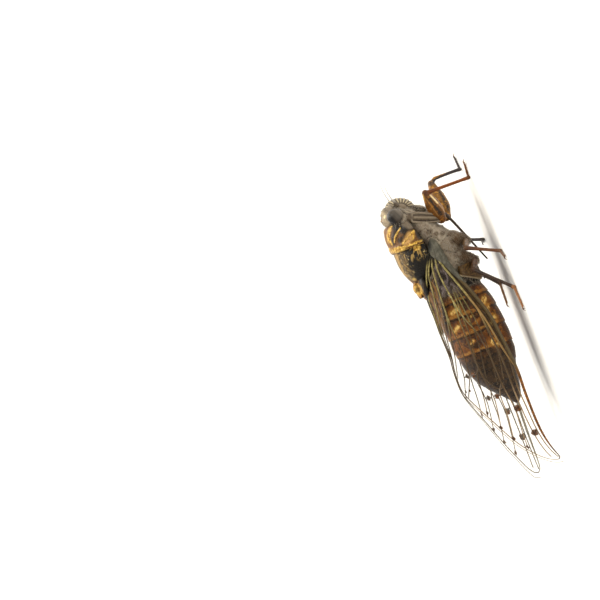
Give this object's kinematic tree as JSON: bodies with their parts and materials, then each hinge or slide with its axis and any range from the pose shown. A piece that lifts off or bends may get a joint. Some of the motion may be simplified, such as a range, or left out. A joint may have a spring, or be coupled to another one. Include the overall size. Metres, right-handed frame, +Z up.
{
  "type": "manna cicada",
  "caption": "Life-size manna cicada at rest, standing on its feet with clear veined wings folded over its back.",
  "frame": {"origin": "on the floor under the middle of the whole insect", "axes": "+X towards the head, +Y to its left, +Z up from the floor that the feet stand on"},
  "size_m": [0.0394, 0.0221, 0.0118],
  "materials": {
    "head_cuticle": "satin, with fine pale hair",
    "face_cuticle": "satin, cross-banded pale and dark",
    "eye": "glossy",
    "antenna": "satin",
    "rostrum": "satin",
    "pronotum": "satin, ochre and black pattern",
    "mesonotum": "satin, tan and black pattern",
    "thorax": "matt, dusted with fine pale hair",
    "abdomen": "glossy, translucent amber to dark brown",
    "operculum": "satin",
    "forewing": "clear membrane, brown and olive veins",
    "hindwing": "clear membrane, pale brown veins",
    "fore_leg": "satin",
    "mid_leg": "satin",
    "hind_leg": "satin"
  },
  "bodies": {
    "root": {"abdomen_1": "abdomen", "abdomen_2": "abdomen", "abdomen_3": "abdomen", "abdomen_4": "abdomen", "abdomen_5": "abdomen", "abdomen_6": "abdomen", "abdomen_7": "abdomen", "abdomen_tip": "abdomen", "antenna_L": "antenna", "antenna_R": "antenna", "eye_L": "eye", "eye_R": "eye", "fore_coxa_L": "fore_leg", "fore_coxa_R": "fore_leg", "fore_femur_L": "fore_leg", "fore_femur_R": "fore_leg", "fore_tarsus_L": "fore_leg", "fore_tarsus_R": "fore_leg", "fore_tibia_L": "fore_leg", "fore_tibia_R": "fore_leg", "forewing_L": "forewing", "forewing_R": "forewing", "head": "head_cuticle", "hind_coxa_L": "hind_leg", "hind_coxa_R": "hind_leg", "hind_femur_L": "hind_leg", "hind_femur_R": "hind_leg", "hind_tarsus_L": "hind_leg", "hind_tarsus_R": "hind_leg", "hind_tibia_L": "hind_leg", "hind_tibia_R": "hind_leg", "hindwing_L": "hindwing", "hindwing_R": "hindwing", "mesonotum": "mesonotum", "mid_coxa_L": "mid_leg", "mid_coxa_R": "mid_leg", "mid_femur_L": "mid_leg", "mid_femur_R": "mid_leg", "mid_tarsus_L": "mid_leg", "mid_tarsus_R": "mid_leg", "mid_tibia_L": "mid_leg", "mid_tibia_R": "mid_leg", "operculum_L": "operculum", "operculum_R": "operculum", "postclypeus": "face_cuticle", "pronotum": "pronotum", "rostrum": "rostrum", "thorax": "thorax"}
  },
  "joints": []
}
